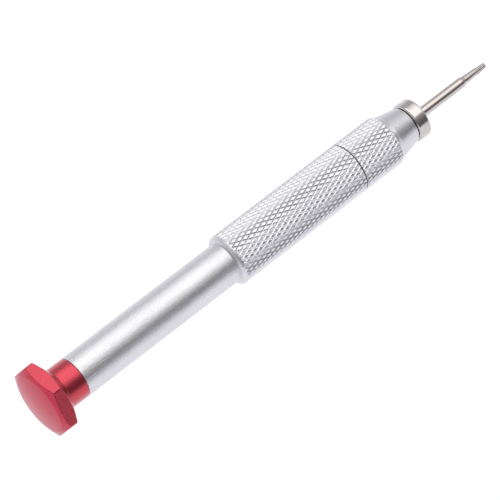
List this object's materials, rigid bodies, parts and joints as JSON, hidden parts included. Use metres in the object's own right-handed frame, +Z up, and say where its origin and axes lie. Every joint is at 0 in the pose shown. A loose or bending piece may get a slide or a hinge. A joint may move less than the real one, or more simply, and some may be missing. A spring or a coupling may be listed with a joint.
{
  "type": "watchmaker screwdriver",
  "caption": "Slim precision screwdriver with a free-turning hexagonal red cap, a diamond-knurled collet grip, a thin lobed-tip blade and a sliding magnetising ring.",
  "frame": {"origin": "centre of the blade's driving end", "axes": "+X along the tool's axis, out of the blade tip; +Z up, square to the hexagon flat that the tool lies on"},
  "size_m": [0.1083, 0.0148, 0.013],
  "materials": {
    "satin_aluminium": "bead-blasted satin, clear anodised",
    "red_anodised": "satin, red anodised",
    "collet_brass": "turned",
    "bearing_steel": "ground and polished",
    "pressed_steel": "bright pressed and turned",
    "tool_steel": "hardened, finely polished along its length",
    "nickel_plate": "nickel plated, tumbled edges"
  },
  "bodies": {
    "handle": {"handle_body": "satin_aluminium", "bearing_outer_race": "bearing_steel", "bearing_shield_rear": "pressed_steel", "bearing_shield_front": "pressed_steel"},
    "cap": {"swivel_cap": "red_anodised", "bearing_inner_race": "bearing_steel", "axle_washer": "pressed_steel", "axle_screw": "pressed_steel"},
    "ball_set": {"bearing_cage": "pressed_steel", "bearing_ball_1": "bearing_steel", "bearing_ball_2": "bearing_steel", "bearing_ball_3": "bearing_steel", "bearing_ball_4": "bearing_steel", "bearing_ball_5": "bearing_steel", "bearing_ball_6": "bearing_steel", "bearing_ball_7": "bearing_steel", "bearing_ball_8": "bearing_steel"},
    "collet": {"collet": "collet_brass"},
    "nose": {"nose_nut": "satin_aluminium"},
    "blade": {"blade": "tool_steel"},
    "ring": {"magnet_ring": "nickel_plate"}
  },
  "joints": [
    {"name": "cap_spin", "type": "hinge", "parent": "handle", "child": "cap", "pos_m": [-0.09815, 0, 0], "axis": [1, 0, 0], "continuous": true},
    {"name": "ball_set_spin", "type": "hinge", "parent": "handle", "child": "ball_set", "pos_m": [-0.09815, 0, 0], "axis": [1, 0, 0], "continuous": true},
    {"name": "collet_advance", "type": "slide", "parent": "handle", "child": "collet", "axis": [1, 0, 0], "range_m": [0, 0.004]},
    {"name": "nose_turn", "type": "hinge", "parent": "collet", "child": "nose", "pos_m": [-0.027, 0, 0], "axis": [1, 0, 0], "range_deg": [0, 2880]},
    {"name": "blade_draw", "type": "slide", "parent": "collet", "child": "blade", "axis": [1, 0, 0], "range_m": [0, 0.035]},
    {"name": "ring_slide", "type": "slide", "parent": "blade", "child": "ring", "axis": [1, 0, 0], "range_m": [0, 0.011]}
  ],
  "couplings": [
    {"joint": "ball_set_spin", "follows": "cap_spin", "ratio": 0.41111},
    {"joint": "nose_turn", "follows": "collet_advance", "rad_per_m": 12566}
  ]
}
